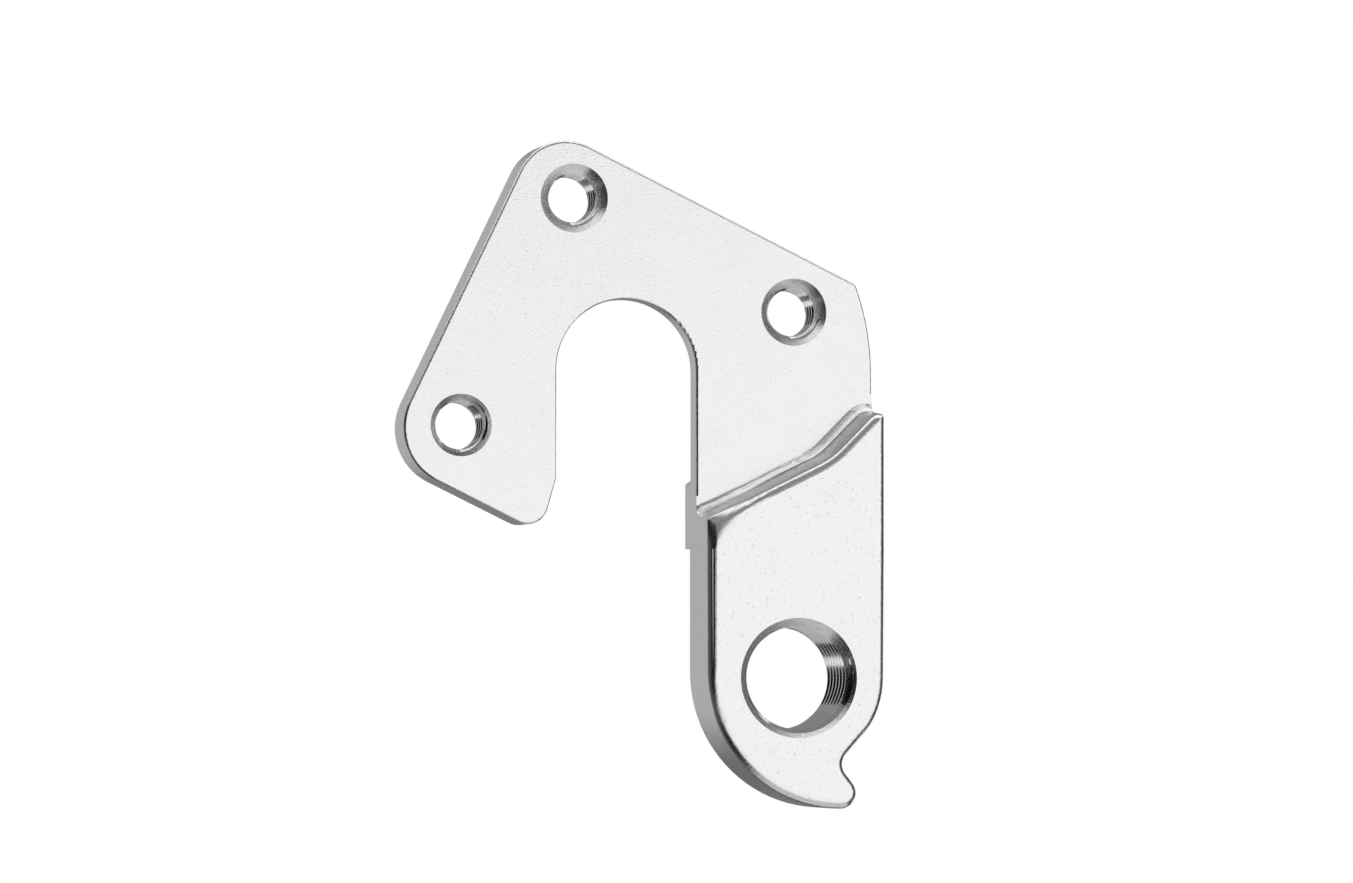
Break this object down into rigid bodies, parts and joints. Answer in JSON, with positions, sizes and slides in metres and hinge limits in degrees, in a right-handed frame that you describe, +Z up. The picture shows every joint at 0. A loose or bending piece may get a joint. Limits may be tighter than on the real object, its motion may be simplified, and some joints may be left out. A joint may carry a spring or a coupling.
{
  "type": "bicycle derailleur hanger",
  "caption": "Flat metal plate with an open axle slot and an offset arm that ends in a threaded hole and a hooked stop; it bolts a rear derailleur to a bicycle frame.",
  "frame": {"origin": "on the axis of the derailleur thread, in the plane of the plate's inboard face, which lies against the bicycle's frame", "axes": "+X towards the rear of the bicycle, +Y outboard along the derailleur thread, +Z up along the axle slot"},
  "size_m": [0.0426, 0.0088, 0.0589],
  "materials": {
    "hanger": "satin, lightly blasted"
  },
  "bodies": {
    "root": {"derailleur_hanger": "hanger"}
  },
  "joints": []
}
